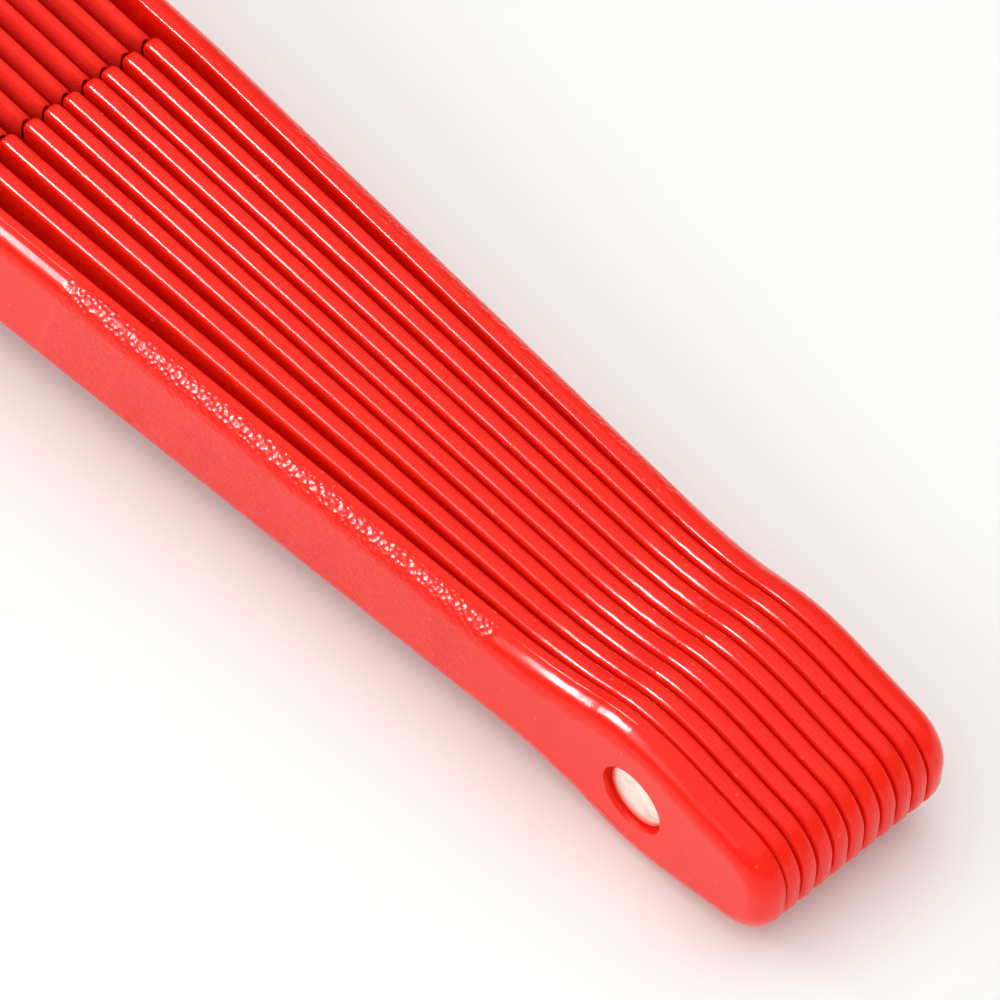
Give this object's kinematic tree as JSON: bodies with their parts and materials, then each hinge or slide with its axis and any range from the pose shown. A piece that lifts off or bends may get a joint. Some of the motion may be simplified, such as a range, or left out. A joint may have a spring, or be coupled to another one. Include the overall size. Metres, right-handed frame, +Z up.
{
  "type": "folding hand fan",
  "caption": "Closed folding hand fan: guards and thin ribs turn on one rivet at the handle end and carry a pleated cloth leaf that spreads flat when the fan opens.",
  "frame": {"origin": "centre of the base of the closed fan's bounding box, on the surface it lies on", "axes": "+Z up, blades run towards -X with the pivot at the +X end, the guard that carries the rivet's head is at -Y"},
  "size_m": [0.223, 0.0302, 0.0285],
  "materials": {
    "guard_plastic": "glossy, with a leather grain over the middle of the handle",
    "rib_plastic": "glossy",
    "leaf_cloth": "matt, finely woven, pressed into pleats",
    "rivet_metal": "satin, nickel coloured"
  },
  "bodies": {
    "near_guard": {"guard_near": "guard_plastic", "leaf_panel_00": "leaf_cloth", "pivot_rivet": "rivet_metal", "rivet_cap": "rivet_metal"},
    "blade_01": {"rib_01": "rib_plastic", "leaf_panel_01": "leaf_cloth", "leaf_pleat_01": "leaf_cloth"},
    "blade_02": {"rib_02": "rib_plastic", "leaf_panel_02": "leaf_cloth", "leaf_pleat_02": "leaf_cloth"},
    "blade_03": {"rib_03": "rib_plastic", "leaf_panel_03": "leaf_cloth", "leaf_pleat_03": "leaf_cloth"},
    "blade_04": {"rib_04": "rib_plastic", "leaf_panel_04": "leaf_cloth", "leaf_pleat_04": "leaf_cloth"},
    "blade_05": {"rib_05": "rib_plastic", "leaf_panel_05": "leaf_cloth", "leaf_pleat_05": "leaf_cloth"},
    "blade_06": {"rib_06": "rib_plastic", "leaf_panel_06": "leaf_cloth", "leaf_pleat_06": "leaf_cloth"},
    "blade_07": {"rib_07": "rib_plastic", "leaf_panel_07": "leaf_cloth", "leaf_pleat_07": "leaf_cloth"},
    "blade_08": {"rib_08": "rib_plastic", "leaf_panel_08": "leaf_cloth", "leaf_pleat_08": "leaf_cloth"},
    "blade_09": {"rib_09": "rib_plastic", "leaf_panel_09": "leaf_cloth", "leaf_pleat_09": "leaf_cloth"},
    "far_guard": {"guard_far": "guard_plastic", "leaf_panel_10": "leaf_cloth", "leaf_pleat_10": "leaf_cloth"}
  },
  "joints": [
    {"name": "open_01", "type": "hinge", "parent": "near_guard", "child": "blade_01", "pos_m": [0.09574, 0, 0.0078], "axis": [0, 1, 0], "range_deg": [0, 15.8], "deforming": ["leaf_pleat_01"]},
    {"name": "open_02", "type": "hinge", "parent": "blade_01", "child": "blade_02", "pos_m": [0.09574, 0, 0.0078], "axis": [0, 1, 0], "range_deg": [0, 15.8], "deforming": ["leaf_pleat_02"]},
    {"name": "open_03", "type": "hinge", "parent": "blade_02", "child": "blade_03", "pos_m": [0.09574, 0, 0.0078], "axis": [0, 1, 0], "range_deg": [0, 15.8], "deforming": ["leaf_pleat_03"]},
    {"name": "open_04", "type": "hinge", "parent": "blade_03", "child": "blade_04", "pos_m": [0.09574, 0, 0.0078], "axis": [0, 1, 0], "range_deg": [0, 15.8], "deforming": ["leaf_pleat_04"]},
    {"name": "open_05", "type": "hinge", "parent": "blade_04", "child": "blade_05", "pos_m": [0.09574, 0, 0.0078], "axis": [0, 1, 0], "range_deg": [0, 15.8], "deforming": ["leaf_pleat_05"]},
    {"name": "open_06", "type": "hinge", "parent": "blade_05", "child": "blade_06", "pos_m": [0.09574, 0, 0.0078], "axis": [0, 1, 0], "range_deg": [0, 15.8], "deforming": ["leaf_pleat_06"]},
    {"name": "open_07", "type": "hinge", "parent": "blade_06", "child": "blade_07", "pos_m": [0.09574, 0, 0.0078], "axis": [0, 1, 0], "range_deg": [0, 15.8], "deforming": ["leaf_pleat_07"]},
    {"name": "open_08", "type": "hinge", "parent": "blade_07", "child": "blade_08", "pos_m": [0.09574, 0, 0.0078], "axis": [0, 1, 0], "range_deg": [0, 15.8], "deforming": ["leaf_pleat_08"]},
    {"name": "open_09", "type": "hinge", "parent": "blade_08", "child": "blade_09", "pos_m": [0.09574, 0, 0.0078], "axis": [0, 1, 0], "range_deg": [0, 15.8], "deforming": ["leaf_pleat_09"]},
    {"name": "open_10", "type": "hinge", "parent": "blade_09", "child": "far_guard", "pos_m": [0.09574, 0, 0.0078], "axis": [0, 1, 0], "range_deg": [0, 15.8], "deforming": ["leaf_pleat_10"]}
  ],
  "couplings": [
    {"joint": "open_02", "follows": "open_01", "ratio": 1},
    {"joint": "open_03", "follows": "open_01", "ratio": 1},
    {"joint": "open_04", "follows": "open_01", "ratio": 1},
    {"joint": "open_05", "follows": "open_01", "ratio": 1},
    {"joint": "open_06", "follows": "open_01", "ratio": 1},
    {"joint": "open_07", "follows": "open_01", "ratio": 1},
    {"joint": "open_08", "follows": "open_01", "ratio": 1},
    {"joint": "open_09", "follows": "open_01", "ratio": 1},
    {"joint": "open_10", "follows": "open_01", "ratio": 1}
  ]
}
